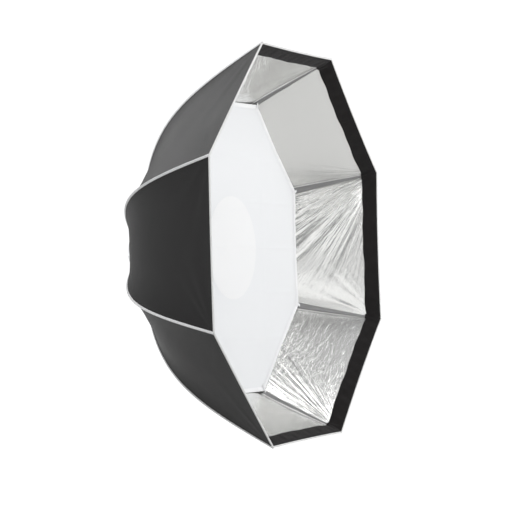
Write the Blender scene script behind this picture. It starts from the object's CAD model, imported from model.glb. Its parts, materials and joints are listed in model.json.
"""A folding eight-sided softbox on its speed ring, with the inner diffuser fitted."""

import bmesh
import bpy
import json
import math
import numpy as np
from mathutils import Matrix

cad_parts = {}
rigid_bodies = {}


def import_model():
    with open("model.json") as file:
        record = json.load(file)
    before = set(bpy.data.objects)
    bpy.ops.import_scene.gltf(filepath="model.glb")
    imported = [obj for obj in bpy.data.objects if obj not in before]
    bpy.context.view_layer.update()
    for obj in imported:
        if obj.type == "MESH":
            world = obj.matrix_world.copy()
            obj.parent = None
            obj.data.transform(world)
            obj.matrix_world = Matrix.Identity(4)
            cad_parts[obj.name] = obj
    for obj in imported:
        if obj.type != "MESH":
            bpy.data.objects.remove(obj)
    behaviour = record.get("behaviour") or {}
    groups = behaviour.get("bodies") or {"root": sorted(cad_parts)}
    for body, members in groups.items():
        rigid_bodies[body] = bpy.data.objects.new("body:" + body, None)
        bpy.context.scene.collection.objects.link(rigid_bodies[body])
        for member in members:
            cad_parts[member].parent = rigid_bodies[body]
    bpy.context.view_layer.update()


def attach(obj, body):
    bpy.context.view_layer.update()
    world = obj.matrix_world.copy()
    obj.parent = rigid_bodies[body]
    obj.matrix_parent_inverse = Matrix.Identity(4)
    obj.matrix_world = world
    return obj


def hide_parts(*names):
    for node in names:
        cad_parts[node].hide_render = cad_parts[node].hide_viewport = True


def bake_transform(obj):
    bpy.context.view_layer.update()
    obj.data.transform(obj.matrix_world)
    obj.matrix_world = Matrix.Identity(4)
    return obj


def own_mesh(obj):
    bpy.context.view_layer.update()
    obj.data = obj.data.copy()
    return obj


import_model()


def set_square(thing, right, up, back, at):
    """Places an object with its own x, y and z along three unit vectors."""
    placed = np.eye(4)
    placed[:3, 0], placed[:3, 1], placed[:3, 2], placed[:3, 3] = right, up, back, at
    thing.matrix_world = Matrix(placed.tolist())


def swing(first, second, angle):
    """Two square axes swung in their plane, the first towards the second, by cosine and sine."""
    return (
        math.cos(angle) * first + math.sin(angle) * second,
        math.cos(angle) * second - math.sin(angle) * first,
    )


# Camera.
# A long lens five metres from the rim, level with the axis and 65 degrees round to the left. It is
# then swung by a degree or two in yaw, pitch and roll, which sets the box in the picture.
RIM_RADIUS, RIM_DEPTH = 0.6, 0.53
camera_data = bpy.data.cameras.new("camera")
camera = bpy.data.objects.new("camera", camera_data)
bpy.context.collection.objects.link(camera)
bpy.context.scene.camera = camera
camera_data.sensor_width = 36.0
camera_data.lens = 124.82
camera_data.clip_end = 200.0
EYE_DISTANCE = 5.035
azimuth, elevation, yaw, pitch, roll = np.radians([-64.82, -1.027, -1.585, -0.277, -1.557])
towards_eye = np.array(
    [
        math.sin(azimuth) * math.cos(elevation),
        -math.cos(azimuth) * math.cos(elevation),
        math.sin(elevation),
    ]
)
look = -towards_eye
right = np.array([math.cos(azimuth), math.sin(azimuth), 0.0])
up = np.cross(right, look)
look, right = swing(look, right, yaw)
look, up = swing(look, up, pitch)
right, up = swing(right, up, roll)
eye = towards_eye * EYE_DISTANCE + np.array([0.0, -RIM_DEPTH, 0.0])
set_square(camera, right, up, -look, eye)

# Seam line.
# Every seam of the box follows one curve from the ring to the rim, the line the bent rods give it.
SIDES = 8
HALF = math.pi / SIDES
RIBS = [HALF + 2 * HALF * i for i in range(SIDES)]
SEAM = np.array(
    [[0.1056, -0.0269], [0.384, -0.1107], [0.4493, -0.2168], [RIM_RADIUS, -RIM_DEPTH]]
)
HALF_SIDE = RIM_RADIUS * math.sin(HALF)
CLOTH_PER_DEPTH = 1.12  # metres of cloth to each metre of depth, near the rim
CAMBER = 0.013  # metres that a gore is pulled in between its seams
RIM_SAG = 0.0025  # share of the seam that the rim hangs back between the ribs
INSIDE = (0.0, -0.4, 0.0)  # a point that the outer faces look away from


def seam_line(t):
    """Radius and y of the seam at t, 0 at the ring and 1 at the rim, and their slopes: a cubic
    curve, the sum of its four control points weighted by (1-t)^3, 3(1-t)^2 t, 3(1-t) t^2 and
    t^3."""
    t = np.asarray(t, float)
    weights = np.stack([(1 - t) ** 3, 3 * (1 - t) ** 2 * t, 3 * (1 - t) * t**2, t**3], -1)
    slopes = np.stack([3 * (1 - t) ** 2, 6 * (1 - t) * t, 3 * t**2], -1)
    at, along = weights @ SEAM, slopes @ np.diff(SEAM, axis=0)
    return at[..., 0], at[..., 1], along[..., 0], along[..., 1]


def seam_length(t):
    """Metres along the seam at each row of t, from its first row: the sum of the straight steps."""
    r, y = seam_line(t)[:2]
    steps = np.hypot(np.diff(r[:, 0]), np.diff(y[:, 0]))
    return np.concatenate([[0], np.cumsum(steps)])[:, None]


def round_axis(angle, out, back, side):
    """Points out from the box's axis at that angle, back along the axis and to the side."""
    return np.stack(
        [
            out * math.cos(angle) - side * math.sin(angle),
            back,
            out * math.sin(angle) + side * math.cos(angle),
        ],
        -1,
    )


def gore_surface(middle, t, across, depth):
    """Points on the side whose middle lies at that angle. Across runs from -1 at one seam to 1 at
    the next. The rim hangs back between the ribs, t less by the sag times (1 - across^2) t^8. The
    flat chord between the seams is pulled in by a camber of (1 - across^4) sin(pi t)^0.8, moved out
    by depth along the chord's normal, and closed on the rib planes: the sideways place is across
    times the distance out times tan(half a side's angle)."""
    t, across = np.broadcast_arrays(np.asarray(t, float), np.asarray(across, float))
    t = t - RIM_SAG * (1 - across**2) * t**8
    r, y, dr, dy = seam_line(t)
    slant = np.hypot(dr * math.cos(HALF), dy)
    push = depth - CAMBER * np.sin(np.pi * np.clip(t, 0, 1)) ** 0.8 * (1 - across**4)
    out = r * math.cos(HALF) - dy / slant * push
    back = y + dr * math.cos(HALF) / slant * push
    return round_axis(middle, out, back, across * out * math.tan(HALF))


def seam_strip(rib, t, s, half_width, depth):
    """Points of a strip laid over a seam, moved off the cloth by depth. S runs from -1 at its edge
    on one gore, over the seam at 0, to 1 at its edge on the next. Each point is that share of half
    the strip's width in from the seam, over half the gore's width there."""
    inset = np.abs(s) * half_width / (seam_line(t)[0] * math.sin(HALF))
    before = gore_surface(RIBS[rib] - HALF, t, 1 - inset, depth)
    after = gore_surface(RIBS[rib] + HALF, t, -1 + inset, depth)
    return np.where((s < 0)[..., None], before, after)


def grid_uv(across, along):
    """Texture places on a grid, from what runs across it and what runs along it."""
    return np.stack(np.broadcast_arrays(across, along), -1)


def add_uv(mesh, name, places):
    """A UV map with one place for each point of the mesh."""
    corners = np.zeros(len(mesh.loops), np.int32)
    mesh.loops.foreach_get("vertex_index", corners)
    at_corners = places.reshape(-1, 2)[corners].astype(np.float32)
    mesh.uv_layers.new(name=name).data.foreach_set("uv", at_corners.ravel())


def grid_piece(name, points, uv, outward, wrap=False):
    """A mesh over a grid of points. Outward is a point that its faces look away from, or None to
    keep the grid's own turn: the normal is the cross product of the steps along rows and along
    columns."""
    rows, columns = points.shape[:2]
    number = np.arange(rows * columns).reshape(rows, columns)
    right_of = np.roll(number, -1, axis=1) if wrap else number[:, 1:]
    left_of = number if wrap else number[:, :-1]
    faces = np.stack([left_of[:-1], right_of[:-1], right_of[1:], left_of[1:]], -1).reshape(-1, 4)
    flat = points.reshape(-1, 3)
    if outward is not None:
        corner = flat[faces]
        normal = np.cross(corner[:, 1] - corner[:, 0], corner[:, 3] - corner[:, 0])
        if ((corner.mean(1) - np.asarray(outward)) * normal).sum() < 0:
            faces = faces[:, ::-1]
    mesh = bpy.data.meshes.new(name)
    mesh.from_pydata(flat.tolist(), [], faces.tolist())
    add_uv(mesh, "UVMap", uv)
    mesh.polygons.foreach_set("use_smooth", np.ones(len(mesh.polygons), bool))
    mesh.update()
    piece = bpy.data.objects.new(name, mesh)
    bpy.context.collection.objects.link(piece)
    return piece


def weld(piece, close=False):
    """Merges the points of a piece that lie together, closes its open ends if asked, and turns
    its faces outwards."""
    shell = bmesh.new()
    shell.from_mesh(piece.data)
    bmesh.ops.remove_doubles(shell, verts=shell.verts, dist=1e-6)
    if close:
        bmesh.ops.holes_fill(shell, edges=shell.edges, sides=0)
    bmesh.ops.recalc_face_normals(shell, faces=shell.faces)
    shell.to_mesh(piece.data)
    shell.free()


def empty_material(name):
    """A new material with nothing in its node tree, with its nodes and its links."""
    material = bpy.data.materials.new(name)
    material.use_nodes = True
    material.node_tree.nodes.clear()
    return material, material.node_tree.nodes, material.node_tree.links


def set_inputs(node, settings):
    """Sets a node's inputs from their names or numbers."""
    for key, value in settings.items():
        node.inputs[key].default_value = value


def set_out(row, x, y, frame=None, step=240):
    """Lays nodes out in a row from x, y, inside a frame if there is one."""
    for i, node in enumerate(row):
        node.parent = frame
        node.location = (x + step * i, y)


def woven_cloth(
    name, colour, shade, thread, depth, roughness, sheen, shine=0.5, mottle=9.0, rib=0.0
):
    """Cloth woven from threads that many metres apart, with a slow drift between colour and shade.
    Rib is the share of a diagonal rib in the weave's height."""
    material, nodes, links = empty_material(name)

    place = nodes.new("ShaderNodeUVMap")
    place.label = "metres across and along the cloth"
    scale = nodes.new("ShaderNodeMapping")
    scale.label = "one unit to a thread"
    scale.inputs["Scale"].default_value = (1 / thread, 1 / thread, 1)
    warp = nodes.new("ShaderNodeTexWave")
    warp.label = "warp threads"
    warp.bands_direction = "X"
    set_inputs(warp, {"Scale": 0.31, "Distortion": 0.6})
    weft = nodes.new("ShaderNodeTexWave")
    weft.label = "weft threads"
    weft.bands_direction = "Y"
    set_inputs(weft, {"Scale": 0.31, "Distortion": 0.6})
    diagonal = nodes.new("ShaderNodeTexWave")
    diagonal.label = "diagonal rib of the tape"
    diagonal.bands_direction = "DIAGONAL"
    diagonal.inputs["Scale"].default_value = 0.16
    crossing = nodes.new("ShaderNodeMath")
    crossing.label = "threads over and under"
    crossing.operation = "MULTIPLY"
    ribbed = nodes.new("ShaderNodeMix")
    ribbed.label = "share of rib"
    ribbed.inputs["Factor"].default_value = rib
    slub = nodes.new("ShaderNodeTexNoise")
    slub.label = "uneven threads"
    set_inputs(slub, {"Scale": 0.12, "Detail": 4.0})
    uneven = nodes.new("ShaderNodeMath")
    uneven.label = "weave with its slubs"
    uneven.operation = "ADD"
    weave = nodes.new("ShaderNodeBump")
    weave.label = "weave height"
    set_inputs(weave, {"Strength": depth, "Distance": thread * 0.4})
    drift = nodes.new("ShaderNodeTexNoise")
    drift.label = "slow drift of tone"
    set_inputs(drift, {"Scale": mottle, "Detail": 5.0})
    solid_place = nodes.new("ShaderNodeTexCoord")
    solid_place.label = "place on the box"
    tone = nodes.new("ShaderNodeMix")
    tone.label = "two tones of the dye"
    tone.data_type = "RGBA"
    set_inputs(tone, {6: (*colour, 1), 7: (*shade, 1)})
    dull = nodes.new("ShaderNodeMapRange")
    dull.label = "roughness drifts with the tone"
    set_inputs(dull, {"To Min": roughness - 0.05, "To Max": roughness + 0.05})
    surface = nodes.new("ShaderNodeBsdfPrincipled")
    surface.label = "cloth"
    set_inputs(
        surface, {"Sheen Weight": sheen, "Sheen Roughness": 0.45, "Specular IOR Level": shine}
    )
    out = nodes.new("ShaderNodeOutputMaterial")
    out.label = "surface"

    threads = nodes.new("NodeFrame")
    threads.label = "weave"
    set_out((place, warp, diagonal, ribbed, uneven), -1500, 300, threads)
    set_out((scale, weft, crossing, slub, weave), -1500, 40, threads)
    dye = nodes.new("NodeFrame")
    dye.label = "colour and dullness"
    set_out((solid_place, drift, tone, dull), -1100, -500, dye)
    set_out((surface, out), 0, 0, step=320)

    links.new(place.outputs["UV"], scale.inputs["Vector"])
    links.new(scale.outputs["Vector"], warp.inputs["Vector"])
    links.new(scale.outputs["Vector"], weft.inputs["Vector"])
    links.new(scale.outputs["Vector"], diagonal.inputs["Vector"])
    links.new(scale.outputs["Vector"], slub.inputs["Vector"])
    links.new(warp.outputs["Fac"], crossing.inputs[0])
    links.new(weft.outputs["Fac"], crossing.inputs[1])
    links.new(crossing.outputs["Value"], ribbed.inputs["A"])
    links.new(diagonal.outputs["Fac"], ribbed.inputs["B"])
    links.new(ribbed.outputs["Result"], uneven.inputs[0])
    links.new(slub.outputs["Fac"], uneven.inputs[1])
    links.new(uneven.outputs["Value"], weave.inputs["Height"])
    links.new(weave.outputs["Normal"], surface.inputs["Normal"])
    links.new(solid_place.outputs["Object"], drift.inputs["Vector"])
    links.new(drift.outputs["Fac"], tone.inputs["Factor"])
    links.new(drift.outputs["Fac"], dull.inputs["Value"])
    links.new(tone.outputs["Result"], surface.inputs["Base Color"])
    links.new(dull.outputs["Result"], surface.inputs["Roughness"])
    links.new(surface.outputs["BSDF"], out.inputs["Surface"])
    return material


# Outer cloth.
# Eight gores of black coated nylon, sewn edge to edge along the seams and drawn tight by the rods.
# Each gore is made in two halves, because it pleats on its middle line when the box folds.
outer_cloth = woven_cloth(
    "outer_cloth", (0.0125, 0.0119, 0.0121), (0.0168, 0.016, 0.0164), 0.0007, 0.3, 0.52, 0.06, 0.2
)


def corner_arms(corner, t, across):
    """Metres of cloth from a place on the gore to one of its rim corners, -1 or 1: along the rim,
    1 - corner times across of half the gore's width, and up the seam, its depth from the rim times
    the cloth to each metre of depth."""
    r, y = seam_line(t)[:2]
    return (1 - corner * across) * r * math.sin(HALF), (RIM_DEPTH + y) * CLOTH_PER_DEPTH


def pull_lines(seed, t, across):
    """Height of the soft pull lines in a tight gore, in metres: rays that run out from both rim
    corners, a sum of five cosines of the angle round the corner, rising from nothing and fading
    over 0.2 m."""
    height = 0.0
    for corner in (-1, 1):
        away, rise = corner_arms(corner, t, across)
        far = np.hypot(away, rise)
        angle = np.arctan2(away, rise + 1e-6)
        rays = 0.0
        for k in range(5):
            turn = 5.0 + 3.7 * k + 1.3 * math.sin(seed * 2.1 + k * 1.7 + corner)
            rays = rays + np.cos(turn * angle + seed * 1.9 + 2.3 * k + corner) / (1 + 0.5 * k)
        fade = np.clip(far / 0.05, 0, 1) * np.exp(-((far / 0.2) ** 2))
        height = height + rays * fade
    edge = (1 - np.abs(across)) * seam_line(t)[0] * math.sin(HALF)
    return height * np.clip(edge / 0.02, 0, 1) * np.clip(rise / 0.05, 0, 1)


def half_gores(name, depth, height, rows, columns, inside=False):
    """The sixteen half gores of one layer. Height gives the layer's wrinkles as a function of the
    gore's number, t and across. Normals are worked out on the whole gore, so that its halves meet
    without a line."""
    made = []
    t = np.linspace(0, 1, rows)[:, None] ** 0.7
    across = np.linspace(-1, 1, 2 * columns - 1)[None, :]
    for k in range(SIDES):
        middle = RIBS[k] + HALF
        points = gore_surface(middle, t, across, depth + height(k, t, across))
        along, over = np.gradient(points, axis=0), np.gradient(points, axis=1)
        normal = np.cross(over, along)
        normal /= np.linalg.norm(normal, axis=-1, keepdims=True)
        looks_out = ((points - np.array(INSIDE)) * normal).sum() > 0
        if looks_out == inside:
            normal = -normal
        uv = grid_uv(across * seam_line(t)[0] * math.sin(HALF) + 1.7 * k, seam_length(t))
        halves = (
            ("ccw", k, slice(0, columns)),
            ("cw", (k + 1) % SIDES, slice(columns - 1, None)),
        )
        for way, rib, part in halves:
            piece = grid_piece(f"{name}_{way}_{rib + 1}", points[:, part], uv[:, part], None)
            if np.dot(np.array(piece.data.polygons[0].normal), normal[:, part][0, 0]) < 0:
                piece.data.flip_normals()
            piece.data.normals_split_custom_set_from_vertices(
                normal[:, part].reshape(-1, 3).tolist()
            )
            made.append((piece, way, rib))
    return made


def bend_at_pleat(piece):
    """Cloth of a half gore follows its rib at the seam and its pleat further in."""
    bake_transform(piece)


for piece, way, rib in half_gores(
    "outer_cloth", -0.0002, lambda k, t, a: 0.0005 * pull_lines(k, t, a), 81, 36
):
    piece.data.materials.append(outer_cloth)
    bend_at_pleat(piece)
    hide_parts(f"gore_{way}_{rib + 1}")

# Pleat facings.
# A narrow strip of the same nylon behind each pleat line, sewn to one half of the gore. It covers
# the line where the halves part a little when the box is folded.
for k in range(SIDES):
    t = np.linspace(0.42, 0.998, 100)[:, None]
    r = seam_line(t)[0] * math.sin(HALF)
    across = np.linspace(-0.004, 0.010, 6)[None, :] / r
    points = gore_surface(RIBS[k] + HALF, t, across, -0.0009)
    uv = grid_uv(across * r + 0.3 * k, t * 0.74)
    facing = grid_piece(f"pleat_facing_{k + 1}", points, uv, INSIDE)
    facing.data.materials.append(outer_cloth)
    bend_at_pleat(facing)

# Silver lining.
# A metallised film cloth laid inside each gore and caught in the same seams.
# It is stiffer than the nylon, so it creases in fans from the rim corners and crinkles all over.
silver, nodes, links = empty_material("silver_lining")
film_place = nodes.new("ShaderNodeUVMap")
film_place.label = "metres across and along the lining"
film_place.uv_map = "UVMap"
fan_place = nodes.new("ShaderNodeUVMap")
fan_place.label = "angle and distance from the rim corner"
fan_place.uv_map = "FanMap"
pull = nodes.new("ShaderNodeAttribute")
pull.label = "how hard the corner pulls here"
pull.attribute_name = "pull"
slack = nodes.new("ShaderNodeAttribute")
slack.label = "how crinkled the film is here"
slack.attribute_name = "crinkle"
ray_size = nodes.new("ShaderNodeMapping")
ray_size.label = "rays narrow in angle, long in distance"
ray_size.inputs["Scale"].default_value = (13, 4, 1)
rays = nodes.new("ShaderNodeTexNoise")
rays.label = "pulled rays"
set_inputs(rays, {"Scale": 1.0, "Detail": 3.0, "Roughness": 0.55})
pulled = nodes.new("ShaderNodeMath")
pulled.label = "rays die away from the corner"
pulled.operation = "MULTIPLY"
stretch = nodes.new("ShaderNodeMapping")
stretch.label = "crinkles run aslant"
set_inputs(stretch, {"Scale": (34, 110, 1), "Rotation": (0, 0, 0.7)})
crease = nodes.new("ShaderNodeTexNoise")
crease.label = "crinkles"
set_inputs(crease, {"Scale": 1.0, "Detail": 4.0, "Roughness": 0.6, "Distortion": 0.8})
crinkled = nodes.new("ShaderNodeMath")
crinkled.label = "crinkles where the film is slack"
crinkled.operation = "MULTIPLY"
thread_size = nodes.new("ShaderNodeMapping")
thread_size.label = "thread spacing of the base cloth"
thread_size.inputs["Scale"].default_value = (900, 900, 1)
threads = nodes.new("ShaderNodeTexChecker")
threads.label = "threads under the film"
threads.inputs["Scale"].default_value = 1.0
ray_bump = nodes.new("ShaderNodeBump")
ray_bump.label = "ray height"
set_inputs(ray_bump, {"Strength": 1.0, "Distance": 0.024})
soft_bump = nodes.new("ShaderNodeBump")
soft_bump.label = "crinkle height"
set_inputs(soft_bump, {"Strength": 1.0, "Distance": 0.004})
thread_bump = nodes.new("ShaderNodeBump")
thread_bump.label = "thread height"
set_inputs(thread_bump, {"Strength": 0.15, "Distance": 0.0001})
worn = nodes.new("ShaderNodeMapRange")
worn.label = "duller on the creases"
set_inputs(worn, {"To Min": 0.14, "To Max": 0.25})
metal_film = nodes.new("ShaderNodeBsdfPrincipled")
metal_film.label = "metallised film"
set_inputs(metal_film, {"Base Color": (0.83, 0.83, 0.815, 1), "Metallic": 0.82})
film_out = nodes.new("ShaderNodeOutputMaterial")
film_out.label = "surface"
fan = nodes.new("NodeFrame")
fan.label = "fans from the corners"
set_out((fan_place, pull, ray_size, rays, pulled, ray_bump), -1900, 400, fan)
folds = nodes.new("NodeFrame")
folds.label = "crinkle and threads"
set_out(
    (film_place, slack, stretch, crease, crinkled, thread_size, threads, soft_bump, thread_bump),
    -1900,
    -100,
    folds,
)
set_out((worn,), -460, -500)
set_out((metal_film, film_out), 0, 0, step=320)
links.new(fan_place.outputs["UV"], ray_size.inputs["Vector"])
links.new(ray_size.outputs["Vector"], rays.inputs["Vector"])
links.new(rays.outputs["Fac"], pulled.inputs[0])
links.new(pull.outputs["Fac"], pulled.inputs[1])
links.new(pulled.outputs["Value"], ray_bump.inputs["Height"])
links.new(film_place.outputs["UV"], stretch.inputs["Vector"])
links.new(stretch.outputs["Vector"], crease.inputs["Vector"])
links.new(crease.outputs["Fac"], crinkled.inputs[0])
links.new(slack.outputs["Fac"], crinkled.inputs[1])
links.new(crinkled.outputs["Value"], soft_bump.inputs["Height"])
links.new(ray_bump.outputs["Normal"], soft_bump.inputs["Normal"])
links.new(film_place.outputs["UV"], thread_size.inputs["Vector"])
links.new(thread_size.outputs["Vector"], threads.inputs["Vector"])
links.new(threads.outputs["Fac"], thread_bump.inputs["Height"])
links.new(soft_bump.outputs["Normal"], thread_bump.inputs["Normal"])
links.new(thread_bump.outputs["Normal"], metal_film.inputs["Normal"])
links.new(crease.outputs["Fac"], worn.inputs["Value"])
links.new(worn.outputs["Result"], metal_film.inputs["Roughness"])
links.new(metal_film.outputs["BSDF"], film_out.inputs["Surface"])

# How hard each gore's two rim corners pull at the lining, how far in metres that reaches, and how
# crinkled the film is.
PULL = [(0.2, 0.12), (0.7, 1.3), (0.7, 0.5), (0.5, 0.7)]
PULL += [(0.8, 0.5), (0.45, 0.4), (0.5, 0.3), (0.75, 1.3)]
REACH = [(0.12, 0.1), (0.2, 0.3), (0.2, 0.2), (0.18, 0.24)]
REACH += [(0.26, 0.18), (0.2, 0.15), (0.33, 0.1), (0.15, 0.27)]
CRINKLE = [0.08, 0.45, 0.5, 0.45, 0.4, 0.3, 0.34, 0.25]


def lining_creases(k, t, across):
    """Height of the lining's creases in metres, always to the inside: for each rim corner a sum of
    four cosines of the angle round it, as strong and as long as that corner pulls and weaker away
    from the seam, with a slow billow, pressed through tanh so that it stays within 3 mm."""
    height = 0.0
    for corner, pulled, reach in zip((-1, 1), PULL[k], REACH[k]):
        away, rise = corner_arms(corner, t, across)
        far, angle = np.hypot(away, rise), np.arctan2(rise, away + 1e-6)
        rays = 0.0
        for n in range(4):
            turn = 9.0 + 8.3 * n + 3.0 * math.sin(k * 1.7 + n * 2.9 + corner * 0.8)
            rays = rays + np.cos(turn * angle + k * 2.3 + 1.9 * n + corner) / (1 + 0.8 * n)
        fade = np.clip((far - 0.03) / 0.08, 0, 1) * np.exp(-((far / reach) ** 2))
        fade = fade * np.exp(-((math.pi / 2 - angle) ** 2))
        height = height + rays * fade * pulled
    billow = 0.25 * CRINKLE[k] * np.sin(5 * across + k) * np.sin(11 * t + k * 1.3)
    r, y = seam_line(t)[:2]
    edge = (1 - np.abs(across)) * r * math.sin(HALF)
    under_band = np.clip((RIM_DEPTH + y - 0.03) / 0.05, 0, 1)
    room = np.clip(edge / 0.03, 0, 1) * (0.1 + 0.9 * under_band)
    return -0.0012 - 0.0016 * (1 + np.tanh(height * 1.1 + billow)) * room


# The film's own fan of finer rays starts at the rim corner that pulls harder.
for piece, way, rib in half_gores("silver_lining", -0.0016, lining_creases, 150, 56, inside=True):
    mesh = piece.data
    mesh.materials.append(silver)
    gore = rib if way == "ccw" else (rib - 1) % SIDES
    middle = RIBS[gore] + HALF
    strongest = int(np.argmax(PULL[gore]))
    corner = (-1, 1)[strongest]
    verts = np.zeros(len(mesh.vertices) * 3)
    mesh.vertices.foreach_get("co", verts)
    x, y, z = verts.reshape(-1, 3).T
    lateral = -x * math.sin(middle) + z * math.cos(middle)
    along_rim = np.abs(lateral - corner * HALF_SIDE)
    rise = (y + RIM_DEPTH) * CLOTH_PER_DEPTH
    far = np.hypot(along_rim, rise)
    angle = np.arctan2(along_rim, rise + 1e-4)
    strength = PULL[gore][strongest] * np.clip((far - 0.03) / 0.07, 0.05, 1) * (
        0.05 + np.exp(-((far / REACH[gore][strongest]) ** 2))
    )
    strength *= 0.2 + 0.8 * np.exp(-((angle / 0.7) ** 2))
    patchy = 0.65 + 0.35 * np.sin(9 * along_rim + 3 * gore) * np.sin(13 * y + gore)
    for attribute, values in (("pull", strength), ("crinkle", CRINKLE[gore] * patchy)):
        layer = mesh.attributes.new(attribute, "FLOAT", "POINT")
        layer.data.foreach_set("value", values.astype(np.float32))
    add_uv(mesh, "FanMap", np.stack([angle + 3 * gore, far], -1))
    mesh.uv_layers["UVMap"].active = True
    mesh.uv_layers["UVMap"].active_render = True
    bend_at_pleat(piece)

# Seam bindings.
# A light grey woven tape folded over the raw edges of each seam and sewn through both gores.
binding_tape = woven_cloth(
    "binding_tape", (0.76, 0.76, 0.77), (0.82, 0.82, 0.82), 0.0009, 0.8, 0.75, 0.1, rib=0.6
)
BINDING_WIDTH = 0.009
for rib in range(SIDES):
    t = np.linspace(0.0, 1.0, 161)[:, None]
    s = np.linspace(-1, 1, 13)[None, :]
    height = 0.0006 + 0.002 * np.sqrt(np.clip(1 - s**2, 0, 1))
    points = seam_strip(rib, t, s, BINDING_WIDTH / 2, height)
    uv = grid_uv(s * BINDING_WIDTH / 2, seam_length(t))
    piece = grid_piece(f"seam_binding_{rib + 1}", points, uv, INSIDE)
    piece.data.materials.append(binding_tape)
    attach(piece, f"rib_{rib + 1}")

# Rods and their sleeves.
# Spring-steel rods, bent by the cloth they stretch, each inside a silver sleeve sewn across the
# corner of the lining. A black tip ends each rod in its rim pocket.
rod_steel, nodes, links = empty_material("rod_steel")
steel_place = nodes.new("ShaderNodeTexCoord")
steel_place.label = "place on the rod"
drawn = nodes.new("ShaderNodeTexNoise")
drawn.label = "drawing marks"
set_inputs(drawn, {"Scale": 220.0, "Detail": 3.0})
steel_dull = nodes.new("ShaderNodeMapRange")
steel_dull.label = "uneven polish"
set_inputs(steel_dull, {"To Min": 0.2, "To Max": 0.4})
steel = nodes.new("ShaderNodeBsdfPrincipled")
steel.label = "spring steel"
set_inputs(steel, {"Base Color": (0.55, 0.56, 0.57, 1), "Metallic": 1.0})
steel_out = nodes.new("ShaderNodeOutputMaterial")
steel_out.label = "surface"
set_out((steel_place, drawn, steel_dull, steel, steel_out), -900, 0)
links.new(steel_place.outputs["Object"], drawn.inputs["Vector"])
links.new(drawn.outputs["Fac"], steel_dull.inputs["Value"])
links.new(steel_dull.outputs["Result"], steel.inputs["Roughness"])
links.new(steel.outputs["BSDF"], steel_out.inputs["Surface"])

sleeve_film, nodes, links = empty_material("sleeve_film")
sleeve_place = nodes.new("ShaderNodeUVMap")
sleeve_place.label = "metres across and along the sleeve"
pucker_size = nodes.new("ShaderNodeMapping")
pucker_size.label = "puckers run across"
pucker_size.inputs["Scale"].default_value = (18, 120, 1)
pucker = nodes.new("ShaderNodeTexNoise")
pucker.label = "puckers along the stitching"
set_inputs(pucker, {"Scale": 1.0, "Detail": 4.0})
pucker_bump = nodes.new("ShaderNodeBump")
pucker_bump.label = "pucker height"
set_inputs(pucker_bump, {"Strength": 0.8, "Distance": 0.0015})
sides = nodes.new("ShaderNodeSeparateXYZ")
sides.label = "distance from the sleeve's middle"
either = nodes.new("ShaderNodeMath")
either.label = "either side"
either.operation = "ABSOLUTE"
turned_edge = nodes.new("ShaderNodeMapRange")
turned_edge.label = "bright turned edges"
set_inputs(turned_edge, {"From Min": 0.76, "From Max": 0.84})
strip = nodes.new("ShaderNodeMix")
strip.label = "thin film over the rod, double at the edges"
strip.data_type = "RGBA"
set_inputs(strip, {6: (0.3, 0.3, 0.3, 1), 7: (0.85, 0.85, 0.84, 1)})
sleeve_metal = nodes.new("ShaderNodeBsdfPrincipled")
sleeve_metal.label = "metallised sleeve"
set_inputs(sleeve_metal, {"Metallic": 1.0, "Roughness": 0.3})
sleeve_out = nodes.new("ShaderNodeOutputMaterial")
sleeve_out.label = "surface"
puckers = nodes.new("NodeFrame")
puckers.label = "puckers"
edges = nodes.new("NodeFrame")
edges.label = "turned edges"
set_out((sleeve_place,), -1300, 200)
set_out((pucker_size, pucker, pucker_bump), -1060, 200, puckers)
set_out((sides, either, turned_edge, strip), -1060, -200, edges)
set_out((sleeve_metal, sleeve_out), 0, 0, step=320)
links.new(sleeve_place.outputs["UV"], pucker_size.inputs["Vector"])
links.new(pucker_size.outputs["Vector"], pucker.inputs["Vector"])
links.new(pucker.outputs["Fac"], pucker_bump.inputs["Height"])
links.new(pucker_bump.outputs["Normal"], sleeve_metal.inputs["Normal"])
links.new(sleeve_place.outputs["UV"], sides.inputs["Vector"])
links.new(sides.outputs["X"], either.inputs[0])
links.new(either.outputs["Value"], turned_edge.inputs["Value"])
links.new(turned_edge.outputs["Result"], strip.inputs["Factor"])
links.new(strip.outputs["Result"], sleeve_metal.inputs["Base Color"])
links.new(sleeve_metal.outputs["BSDF"], sleeve_out.inputs["Surface"])


def rod_inset(t):
    """How far the rod's centre lies inside the seam: 8.5 mm, easing to 4 mm as it nears its pocket,
    by 3u^2 - 2u^3."""
    u = np.clip((np.asarray(t, float) - 0.82) / 0.14, 0, 1)
    return 0.0085 - 0.0045 * u * u * (3 - 2 * u)


def rod_line(t):
    """Radius and y of the rod's centre line, the seam moved in by the rod's inset along its normal,
    and the unit slope there."""
    r, y, dr, dy = seam_line(t)
    size = np.hypot(dr, dy)
    return r + dy / size * rod_inset(t), y - dr / size * rod_inset(t), dr / size, dy / size


def along_rod(name, rib, t, reach, radius, material):
    """A round bar along the rod's line: each row is a circle of that radius square to the line,
    moved on along it by reach. The ends are drawn to a point and merged."""
    r, y, dr, dy = rod_line(t)
    r, y = r + reach * dr, y + reach * dy
    turn = np.linspace(0, 2 * np.pi, 17)[:-1]
    radial = r[:, None] - dy[:, None] * radius[:, None] * np.cos(turn)
    back = y[:, None] + dr[:, None] * radius[:, None] * np.cos(turn)
    side = radius[:, None] * np.sin(turn)
    points = round_axis(RIBS[rib], radial, back, side)
    piece = grid_piece(name, points, np.zeros(points.shape[:2] + (2,)), None, wrap=True)
    weld(piece)
    piece.data.materials.append(material)
    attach(piece, f"rib_{rib + 1}")
    return piece


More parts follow.
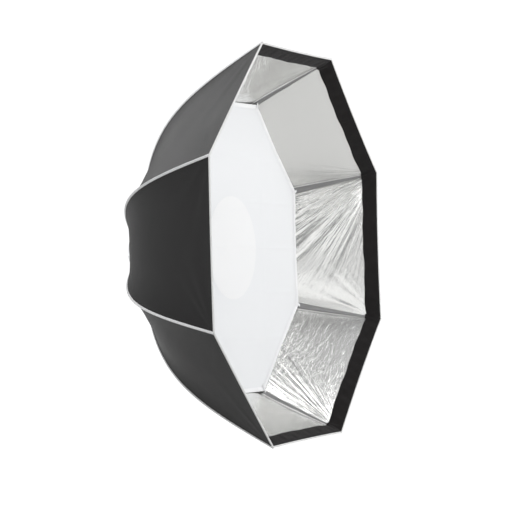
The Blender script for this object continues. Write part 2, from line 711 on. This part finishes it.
def moulded(name, colour, grain, depth, dull, shine=0.5):
    """Moulded plastic or powder coat: an even colour under a fine grain, that many bumps to the
    metre and that deep, with slow changes of gloss."""
    material, nodes, links = empty_material(name)
    place = nodes.new("ShaderNodeTexCoord")
    place.label = "place on the part"
    speckle = nodes.new("ShaderNodeTexNoise")
    speckle.label = "fine grain"
    set_inputs(speckle, {"Scale": grain, "Detail": 3.0})
    bumps = nodes.new("ShaderNodeBump")
    bumps.label = "grain height"
    set_inputs(bumps, {"Strength": 0.5, "Distance": depth})
    handled = nodes.new("ShaderNodeTexNoise")
    handled.label = "handled patches"
    set_inputs(handled, {"Scale": 18.0, "Detail": 4.0})
    tone = nodes.new("ShaderNodeMix")
    tone.label = "slightly paler where rubbed"
    tone.data_type = "RGBA"
    set_inputs(tone, {6: (*colour, 1), 7: (*(1.7 * np.array(colour)), 1)})
    gloss = nodes.new("ShaderNodeMapRange")
    gloss.label = "gloss of the patches"
    set_inputs(gloss, {"To Min": dull - 0.08, "To Max": dull + 0.08})
    surface = nodes.new("ShaderNodeBsdfPrincipled")
    surface.label = "plastic or coat"
    surface.inputs["Specular IOR Level"].default_value = shine
    out = nodes.new("ShaderNodeOutputMaterial")
    out.label = "surface"
    graining = nodes.new("NodeFrame")
    graining.label = "grain"
    set_out((speckle, bumps), -760, 250, graining)
    rubbing = nodes.new("NodeFrame")
    rubbing.label = "wear"
    set_out((handled, tone, gloss), -760, -150, rubbing)
    set_out((place,), -1000, 0)
    set_out((surface, out), 0, 0, step=320)
    links.new(place.outputs["Object"], speckle.inputs["Vector"])
    links.new(place.outputs["Object"], handled.inputs["Vector"])
    links.new(speckle.outputs["Fac"], bumps.inputs["Height"])
    links.new(handled.outputs["Fac"], tone.inputs["Factor"])
    links.new(handled.outputs["Fac"], gloss.inputs["Value"])
    links.new(bumps.outputs["Normal"], surface.inputs["Normal"])
    links.new(tone.outputs["Result"], surface.inputs["Base Color"])
    links.new(gloss.outputs["Result"], surface.inputs["Roughness"])
    links.new(surface.outputs["BSDF"], out.inputs["Surface"])
    return material


rod_tip = moulded("rod_tip", (0.02, 0.02, 0.02), 900.0, 0.0002, 0.5)

ROD_RADIUS, ROD_END = 0.0025, 0.975
SLEEVE_HALF, SLEEVE_TAPER = 0.0155, 0.0105

for rib in range(SIDES):
    # The rod's foot goes 18 mm into its socket, and its end is slightly rounded.
    middle_rows = np.linspace(0.0, ROD_END, 90)
    t = np.concatenate([[0, 0, 0], middle_rows, [ROD_END, ROD_END]])
    reach = np.concatenate([[-0.018, -0.018, -0.01], 0 * middle_rows, [0.0005, 0.0006]])
    radius = np.concatenate(
        [[0, ROD_RADIUS, ROD_RADIUS], 0 * middle_rows + ROD_RADIUS, [0.0020, 0]]
    )
    rod = along_rod(f"rod_steel_{rib + 1}", rib, t, reach, radius, rod_steel)
    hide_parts(f"rod_{rib + 1}")

    # The tip is a cap over the rod's last 20 mm with a small collar near its end.
    reach = np.array([-0.02, -0.02, -0.019, -0.004, -0.002, 0.001, 0.0022, 0.0026])
    radius = np.array([0, 0.0029, 0.0033, 0.0033, 0.0036, 0.0034, 0.002, 0])
    tip = along_rod(f"rod_tip_{rib + 1}", rib, 0.973 + 0 * reach, reach, radius, rod_tip)

    # The sleeve is flat over the rod, slopes to the lining at its sides and narrows to the rim.
    t = np.linspace(0.03, 0.957, 131)[:, None]
    s = np.linspace(-1, 1, 25)[None, :]
    half = SLEEVE_HALF - SLEEVE_TAPER * np.clip((t - 0.66) / 0.29, 0, 1) ** 1.1
    flat = 0.0037 + rod_inset(t) - 0.36 * np.abs(s) * half
    slope = np.clip((np.abs(s) - 0.55) / 0.45, 0, 1)
    puff = 0.0003 * np.sin(83 * t + 2.0 * rib) + 0.0002 * np.sin(187 * t + rib)
    depth = -(flat * (1 - slope) + 0.0036 * slope + puff * (1 - slope))
    points = seam_strip(rib, t, s, half, depth)
    uv = grid_uv(s, seam_length(t) + rib)
    sleeve = grid_piece(f"rod_sleeve_{rib + 1}", points, uv, INSIDE)
    sleeve.data.flip_normals()
    sleeve.data.materials.append(sleeve_film)
    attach(sleeve, f"rib_{rib + 1}")

# Rim.
# Off-white piping covers the cut edge, and a black loop tape is sewn round the inside of it for the
# outer diffuser to grip. Both are mitred at the corners.
piping_tape = woven_cloth(
    "piping_tape", (0.7, 0.7, 0.7), (0.78, 0.78, 0.77), 0.0008, 0.7, 0.8, 0.1, rib=0.4
)
loop_tape = woven_cloth(
    "loop_tape", (0.011, 0.0099, 0.0099), (0.019, 0.0172, 0.0172), 0.0016, 0.6, 0.9, 0.08, 0.12, 40
)
BAND_WIDTH = 0.048
RIM_SPEED = 1.043  # metres of seam to one unit of t, at the rim


def rim_halves(name, section, rows, columns, material):
    """Sixteen mitred half lengths along the rim. Section gives t, depth and the place across for
    rows round the section and columns from the corner to the middle. One half of each pair runs on
    7 mm inside the other, so that they still meet when the gore pleats."""
    made = []
    for k in range(SIDES):
        middle = RIBS[k] + HALF
        for way, rib, sign in (("ccw", k, -1), ("cw", (k + 1) % SIDES, 1)):
            share = np.linspace(1, 0, columns)
            if way == "cw":
                share = np.concatenate([share, [-0.004, -0.03]])
            share = share[None, :]
            across, tucked = sign * share, share < -0.001
            t, depth, v = section(np.linspace(0, 1, rows)[:, None], across, k, tucked)
            points = gore_surface(middle, t, across, depth)
            uv = grid_uv(across * HALF_SIDE + 2.1 * k, v)
            piece = grid_piece(f"{name}_{way}_{rib + 1}", points, uv, None)
            piece.data.materials.append(material)
            made.append((piece, way, rib))
    return made


def piping_section(s, across, k, tucked):
    """Round the piping's section: an oval 6.6 mm wide along the cloth and 5 mm thick, centred on
    the cloth's edge, and a little thinner where it is tucked in."""
    turn = 2 * np.pi * s
    full = np.where(tucked, 0.86, 1.0)
    t = 1.0 + (0.0033 * full * np.cos(turn) - 0.002) / RIM_SPEED + 0 * across
    depth = -0.0014 + 0.0025 * full * np.sin(turn) + 0.0001 * np.sin(140 * across + k)
    return t, depth, s * 0.018 + 0 * across


def band_section(s, across, k, tucked):
    """Across the loop tape, in metres from the rim to its inner edge. The tape ripples aslant, and
    its inner edge wanders by about 2 mm and draws in at the corners, where the tape swells over the
    rod's tip. The tucked end lies under the other half."""
    wander = 0.0012 * np.sin(7.3 * across + 1.9 * k) + 0.0008 * np.sin(17 * across + 3.1 * k)
    corner = (1 - np.abs(across)) * 0.23
    pinch = 0.002 * np.exp(-((corner / 0.02) ** 2))
    reach = 0.0025 + s * (BAND_WIDTH + wander - pinch - 0.001 * tucked)
    swell = 0.0026 * np.exp(-((corner / 0.012) ** 2)) * np.clip(reach / 0.022, 0, 1)
    ripple = np.sin(23 * across + 2.3 * k + 2.5 * s) + 0.7 * np.sin(41 * across - 3 * s + k)
    ripple = 0.0006 * (1 + ripple) * np.sin(np.pi * s)
    depth = -0.0050 - swell - ripple + 0.0008 * np.abs(2 * s - 1) ** 8 + 0.0006 * tucked
    return 1.0 - reach / RIM_SPEED + 0 * across, depth + 0 * s, reach + 0 * across


for piece, way, rib in rim_halves("rim_piping", piping_section, 13, 60, piping_tape):
    weld(piece, close=True)
    bend_at_pleat(piece)

for piece, way, rib in rim_halves("loop_band", band_section, 12, 90, loop_tape):
    first = piece.data.polygons[0]
    if first.normal.dot(first.center) > 0:
        piece.data.flip_normals()
    bend_at_pleat(piece)

# Corner pockets.
# A patch of black webbing sewn over each inner corner of the rim, which takes the rod's tip.
POCKET_START, POCKET_END = 0.9495, 0.992
for rib in range(SIDES):
    t = np.linspace(POCKET_START, POCKET_END, 18)[:, None]
    s = np.linspace(-1, 1, 21)[None, :]
    half = 0.0075 + 0.0065 * np.clip((t - POCKET_START) / 0.03, 0, 1)
    run_out = np.clip((POCKET_END - t) / 0.02, 0, 1)
    depth = -(0.0058 + 0.0031 * (1 - np.abs(s) ** 2.5) * run_out)
    points = seam_strip(rib, t, s, half, depth)
    uv = grid_uv(s * half, t * 0.6)
    pocket = grid_piece(f"corner_pocket_{rib + 1}", points, uv, INSIDE)
    pocket.data.flip_normals()
    pocket.data.materials.append(loop_tape)
    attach(pocket, f"rib_{rib + 1}")

# Inner diffuser.
# One octagon of white nylon across the middle of the box, with a folded hem, a round second layer
# in its centre and a tab at each corner that grips the rib. It is made in eighths, which fold with
# the ribs.
diffuser_cloth = woven_cloth(
    "diffuser_cloth", (0.82, 0.83, 0.845), (0.84, 0.85, 0.862), 0.0006, 0.3, 0.85, 0.05, 0.3, 3.0
)
hem_cloth = woven_cloth(
    "hem_cloth", (0.88, 0.885, 0.895), (0.9, 0.905, 0.91), 0.0006, 0.3, 0.85, 0.05, 0.3, 3.0
)
patch_cloth = woven_cloth(
    "patch_cloth", (0.862, 0.866, 0.874), (0.876, 0.879, 0.883), 0.0006, 0.3, 0.85, 0.05, 0.3, 3.0
)
DIFFUSER_Y, CORNER, PATCH = -0.3035, 0.464, 0.15  # its plane, and its two radii
HEM_WIDTH, TAB_LAP, TAB_END = 0.013, 0.022, 0.4745


def diffuser_rise(x, z):
    """How far the diffuser's cloth stands to the front at a place across it: a slight sag to the
    back of (1 - (r / 0.44)^2)^0.8, faint straight creases left from folding, and a slow waviness
    near the edge."""
    creases = 0.0
    for at in (-0.27, -0.135, 0.0, 0.135, 0.27):
        creases = creases + 0.0011 * np.exp(-np.abs(z - at) / 0.006)
    for at in (-0.2, 0.2):
        creases = creases + 0.0008 * np.exp(-np.abs(x - at) / 0.006)
    far = np.hypot(x, z)
    wave = 0.0012 * np.sin(17 * x + 3) * np.sin(13 * z + 1) * np.clip(far / 0.3, 0, 1)
    bow = -0.0028 * np.clip(1 - (far / 0.44) ** 2, 0, 1) ** 0.8
    return creases + wave + bow


def diffuser_piece(name, rib, radial, side, lift, material):
    """A piece of one eighth, from radial and sideways places on a grid, lifted to the front of the
    cloth."""
    angle = RIBS[rib]
    x = radial * math.cos(angle) - side * math.sin(angle)
    z = radial * math.sin(angle) + side * math.cos(angle)
    points = np.stack([x, DIFFUSER_Y - lift - diffuser_rise(x, z), z], -1)
    uv = np.stack([x, z], -1)
    piece = grid_piece(f"{name}_{rib + 1}", points, uv, (0.0, 5.0, 0.0))
    piece.data.materials.append(material)
    return piece


def fold_with_rib(piece, rib):
    """The piece rides on its diffuser sector and gathers towards the rib's plane as the box
    folds."""
    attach(piece, f"diffuser_{rib + 1}")
    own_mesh(piece)


def kite_edge(s):
    """Radial and sideways place on the eighth's outer edge, s from -1 at one middle line over the
    corner at 0 to 1 at the other. The sides draw in by 0.8% towards their middles, where the lining
    stands further in."""
    flat = CORNER * math.cos(HALF)
    size = np.abs(s)
    full = 1 - 0.008 * size**0.7
    return (
        full * (CORNER + (flat * math.cos(HALF) - CORNER) * size),
        full * np.sign(s) * flat * math.sin(HALF) * size,
    )


for rib in range(SIDES):
    s = np.linspace(-1, 1, 101)[None, :]
    share = np.linspace(0, 1, 111)[:, None]
    edge_r, edge_s = kite_edge(s)
    sector = diffuser_piece(
        "diffuser_cloth", rib, share * edge_r, share * edge_s, 0.0, diffuser_cloth
    )
    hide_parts(f"diffuser_sector_{rib + 1}")

    shrink = 1 - np.linspace(0, HEM_WIDTH, 5)[:, None] / (CORNER * math.cos(HALF))
    crown = 0.0008 + 0.0007 * np.sin(np.pi * np.linspace(0, 1, 5))[:, None]
    hem = diffuser_piece(
        "diffuser_hem", rib, shrink * edge_r, shrink * edge_s, crown + 0 * s, hem_cloth
    )

    turn = np.linspace(-HALF, HALF, 51)[None, :]
    rings = np.linspace(0, PATCH, 51)[:, None]
    edge = 0.0005 + 0.0003 * np.exp(-(((PATCH - rings) / 0.006) ** 2))
    places = rings * np.cos(turn), rings * np.sin(turn), edge + 0 * turn
    patch = diffuser_piece("diffuser_patch", rib, *places, patch_cloth)

    far = np.linspace(CORNER - TAB_LAP, TAB_END, 12)[:, None]
    wide = np.linspace(-0.004, 0.004, 5)[None, :]
    arch = 0.0016 + 0.002 * np.sin(np.pi * (far - CORNER + TAB_LAP) / 0.042)
    tab = diffuser_piece(
        "corner_tab", rib, far + 0 * wide, wide + 0 * far, arch + 0 * wide, hem_cloth
    )

    for piece in (sector, hem, patch, tab):
        fold_with_rib(piece, rib)

# Rear cuff.
# A gathered skirt of the outer nylon that closes the cloth against the speed ring.
CUFF_RADIUS, CUFF_Y = 0.0925, -0.0225
for rib in range(SIDES):
    turn = np.linspace(-1, 1, 41)[None, :]
    share = np.linspace(0, 1, 9)[:, None]
    angle = RIBS[rib] + turn * HALF
    ring_edge = np.stack(
        [CUFF_RADIUS * np.cos(angle), CUFF_Y + 0 * angle, CUFF_RADIUS * np.sin(angle)], -1
    )
    before = gore_surface(RIBS[rib] - HALF, 0.0, np.clip(turn + 1, 0, 1), 0.0004)
    after = gore_surface(RIBS[rib] + HALF, 0.0, np.clip(turn - 1, -1, 0), 0.0004)
    cloth_edge = np.where((turn < 0)[..., None], before, after)
    points = ring_edge * (1 - share[..., None]) + cloth_edge * share[..., None]
    gather = 0.0009 * np.sin(turn * HALF * 90) * np.sin(np.pi * share)
    points[..., 1] += gather + 0.002 * np.sin(np.pi * share)
    uv = grid_uv(turn * 0.04 + rib * 0.1, share * 0.014)
    piece = grid_piece(f"rear_cuff_{rib + 1}", points, uv, INSIDE)
    piece.data.materials.append(outer_cloth)
    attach(piece, f"rib_{rib + 1}")

# Speed ring.
# A die-cast ring with a black powder coat and a screwed front cover. Eight moulded sockets turn in
# its slots on steel pins, and each holds the foot of a rod.
ring_coat = moulded("ring_coat", (0.018, 0.018, 0.019), 1400.0, 0.00025, 0.48)
socket_plastic = moulded("socket_plastic", (0.014, 0.014, 0.014), 700.0, 0.00012, 0.42)
for node in ("speed_ring", "ring_front_cover"):
    bpy.data.objects[node].material_slots[0].material = ring_coat
for rib in range(SIDES):
    bpy.data.objects[f"rod_socket_{rib + 1}"].material_slots[0].material = socket_plastic
    bpy.data.objects[f"hinge_pin_{rib + 1}"].material_slots[0].material = rod_steel

# Mount insert and its retaining ring.
# Turned aluminium, left bright. The three lugs at the back go into the light, and the ring turns on
# the insert's sleeve.
turned, nodes, links = empty_material("turned_aluminium")
insert_place = nodes.new("ShaderNodeTexCoord")
insert_place.label = "place on the insert"
flatten = nodes.new("ShaderNodeVectorMath")
flatten.label = "across the lathe's axis only"
flatten.operation = "MULTIPLY"
flatten.inputs[1].default_value = (1, 0, 1)
radius_out = nodes.new("ShaderNodeVectorMath")
radius_out.label = "distance from the lathe's axis"
radius_out.operation = "LENGTH"
depth_in = nodes.new("ShaderNodeSeparateXYZ")
depth_in.label = "place along the axis"
lathe = nodes.new("ShaderNodeCombineXYZ")
lathe.label = "the same all the way round"
tool_marks = nodes.new("ShaderNodeTexNoise")
tool_marks.label = "tool marks"
set_inputs(tool_marks, {"Scale": 1500.0, "Detail": 2.0})
mark_bump = nodes.new("ShaderNodeBump")
mark_bump.label = "tool mark height"
set_inputs(mark_bump, {"Strength": 0.35, "Distance": 0.0001})
smudge = nodes.new("ShaderNodeTexNoise")
smudge.label = "smudges"
set_inputs(smudge, {"Scale": 25.0, "Detail": 5.0})
smudge_gloss = nodes.new("ShaderNodeMapRange")
smudge_gloss.label = "gloss of the smudges"
set_inputs(smudge_gloss, {"To Min": 0.24, "To Max": 0.42})
aluminium = nodes.new("ShaderNodeBsdfPrincipled")
aluminium.label = "aluminium"
set_inputs(aluminium, {"Base Color": (0.72, 0.73, 0.74, 1), "Metallic": 1.0})
turned_out = nodes.new("ShaderNodeOutputMaterial")
turned_out.label = "surface"
turning = nodes.new("NodeFrame")
turning.label = "turning marks"
set_out((flatten, radius_out, depth_in, lathe, tool_marks, mark_bump), -1300, 250, turning, 200)
set_out((insert_place,), -1500, 0)
set_out((smudge, smudge_gloss), -700, -250)
set_out((aluminium, turned_out), 0, 0, step=320)
links.new(insert_place.outputs["Object"], flatten.inputs[0])
links.new(insert_place.outputs["Object"], depth_in.inputs["Vector"])
links.new(insert_place.outputs["Object"], smudge.inputs["Vector"])
links.new(flatten.outputs["Vector"], radius_out.inputs[0])
links.new(radius_out.outputs["Value"], lathe.inputs["X"])
links.new(depth_in.outputs["Y"], lathe.inputs["Y"])
links.new(lathe.outputs["Vector"], tool_marks.inputs["Vector"])
links.new(tool_marks.outputs["Fac"], mark_bump.inputs["Height"])
links.new(mark_bump.outputs["Normal"], aluminium.inputs["Normal"])
links.new(smudge.outputs["Fac"], smudge_gloss.inputs["Value"])
links.new(smudge_gloss.outputs["Result"], aluminium.inputs["Roughness"])
links.new(aluminium.outputs["BSDF"], turned_out.inputs["Surface"])
for node in ("mount_insert", "insert_retaining_ring"):
    bpy.data.objects[node].material_slots[0].material = turned

# Lock screw.
# A steel stem with a rolled thread, a fluted knob moulded on its outer end and a brass-coloured
# swivel pad that presses on the insert's sleeve.
thread, nodes, links = empty_material("threaded_steel")
stem_place = nodes.new("ShaderNodeTexCoord")
stem_place.label = "place on the stem"
turns = nodes.new("ShaderNodeTexWave")
turns.label = "thread, one millimetre a turn"
turns.bands_direction = "Z"
turns.inputs["Scale"].default_value = 314.0
thread_height = nodes.new("ShaderNodeBump")
thread_height.label = "thread height"
set_inputs(thread_height, {"Strength": 0.9, "Distance": 0.0005})
bright = nodes.new("ShaderNodeBsdfPrincipled")
bright.label = "zinc-plated steel"
set_inputs(bright, {"Base Color": (0.6, 0.6, 0.6, 1), "Metallic": 1.0, "Roughness": 0.34})
thread_out = nodes.new("ShaderNodeOutputMaterial")
thread_out.label = "surface"
set_out((stem_place, turns, thread_height, bright, thread_out), -900, 0)
links.new(stem_place.outputs["Object"], turns.inputs["Vector"])
links.new(turns.outputs["Fac"], thread_height.inputs["Height"])
links.new(thread_height.outputs["Normal"], bright.inputs["Normal"])
links.new(bright.outputs["BSDF"], thread_out.inputs["Surface"])
bpy.data.objects["lock_stem"].material_slots[0].material = thread
bpy.data.objects["lock_knob"].material_slots[0].material = moulded(
    "knob_plastic", (0.02, 0.02, 0.021), 600.0, 0.00018, 0.5
)
bpy.data.objects["lock_pad"].material_slots[0].material = moulded(
    "pad_plastic", (0.22, 0.15, 0.06), 800.0, 0.0001, 0.35
)

# Studio.
# A pale floor well below the box that fades into a white surround. The main soft lamp stands above
# on the left, with others above, in front, beside and behind, and a weak one inside for the light
# that comes through the diffuser from behind.
bpy.ops.mesh.primitive_circle_add(vertices=96, radius=60, fill_type="NGON", location=(0, 0, -1.6))
floor = bpy.context.object
floor.name = "floor"
pale, nodes, links = empty_material("pale_floor")
floor_place = nodes.new("ShaderNodeTexCoord")
floor_place.label = "place on the floor"
distance = nodes.new("ShaderNodeVectorMath")
distance.label = "metres from under the box"
distance.operation = "LENGTH"
fade = nodes.new("ShaderNodeMapRange")
fade.label = "floor lit like the surround further off"
fade.interpolation_type = "SMOOTHSTEP"
set_inputs(fade, {"From Min": 3.0, "From Max": 6.2})
floor_paint = nodes.new("ShaderNodeBsdfPrincipled")
floor_paint.label = "pale floor"
floor_paint.inputs["Base Color"].default_value = (0.85, 0.85, 0.84, 1)
floor_paint.inputs["Roughness"].default_value = 0.9
floor_paint.inputs["Emission Color"].default_value = (1, 1, 1, 1)
floor_out = nodes.new("ShaderNodeOutputMaterial")
floor_out.label = "surface"
set_out((floor_place, distance, fade, floor_paint, floor_out), -900, 0)
links.new(floor_place.outputs["Object"], distance.inputs[0])
links.new(distance.outputs["Value"], fade.inputs["Value"])
links.new(fade.outputs["Result"], floor_paint.inputs["Emission Strength"])
links.new(floor_paint.outputs["BSDF"], floor_out.inputs["Surface"])
floor.data.materials.append(pale)

world = bpy.data.worlds.new("surround")
bpy.context.scene.world = world
world.use_nodes = True
nodes, links = world.node_tree.nodes, world.node_tree.links
nodes.clear()
ray = nodes.new("ShaderNodeLightPath")
ray.label = "seen straight or lighting the box"
room = nodes.new("ShaderNodeBackground")
room.label = "light from the room"
set_inputs(room, {"Color": (0.97, 0.98, 1.0, 1), "Strength": 0.2})
white = nodes.new("ShaderNodeBackground")
white.label = "white surround"
set_inputs(white, {"Color": (1, 1, 1, 1), "Strength": 1.1})
choose = nodes.new("ShaderNodeMixShader")
choose.label = "white behind the box"
world_out = nodes.new("ShaderNodeOutputWorld")
world_out.label = "surround"
set_out((ray, room, white, choose, world_out), -600, 0)
links.new(ray.outputs["Is Camera Ray"], choose.inputs["Fac"])
links.new(room.outputs["Background"], choose.inputs[1])
links.new(white.outputs["Background"], choose.inputs[2])
links.new(choose.outputs["Shader"], world_out.inputs["Surface"])


def soft_lamp(name, place, aim, width, height, brightness):
    """An area lamp at a place, turned towards another. Its power is brightness times pi times its
    area."""
    data = bpy.data.lights.new(name, "AREA")
    data.shape = "RECTANGLE"
    data.size = width
    data.size_y = height
    data.energy = brightness * math.pi * width * height
    lamp = bpy.data.objects.new(name, data)
    bpy.context.collection.objects.link(lamp)
    lamp.visible_camera = False
    away = np.array(place, float) - np.array(aim, float)
    away /= np.linalg.norm(away)
    level = (0, 0, 1) if abs(away[2]) < 0.99 else (0, 1, 0)
    across = np.cross(level, away)
    across /= np.linalg.norm(across)
    set_square(lamp, across, np.cross(away, across), away, place)


soft_lamp("lamp_above_left", (-2.4, -0.9, 3.0), (-0.3, -0.2, 0), 2.0, 2.4, 4.6)
soft_lamp("lamp_above_front", (0, -3.4, 2.9), (0, -0.4, 0), 2.4, 2.0, 2.8)
soft_lamp("lamp_above", (-0.8, -1.3, 3.2), (-0.8, -1.3, 0), 2.2, 2.4, 0.35)
soft_lamp("lamp_front", (0.9, -4.2, -0.3), (0, -0.3, -0.1), 3.0, 1.5, 3.7)
soft_lamp("lamp_right", (3.6, -3.2, 0.4), (0, -0.4, 0), 2.0, 2.0, 1.1)
soft_lamp("lamp_by_camera", (-6.1, -3.4, -0.08), (0, -0.4, 0), 3.4, 1.4, 0.15)
soft_lamp("lamp_behind", (1.1, 3.2, 2.6), (-0.3, 0, 0.3), 2.4, 2.4, 3.1)
soft_lamp("lamp_inside", (0, -0.05, 0), (0, -1.0, 0), 0.15, 0.15, 1.6)

bpy.context.scene.view_settings.view_transform = "Standard"
bpy.context.scene.view_settings.look = "None"
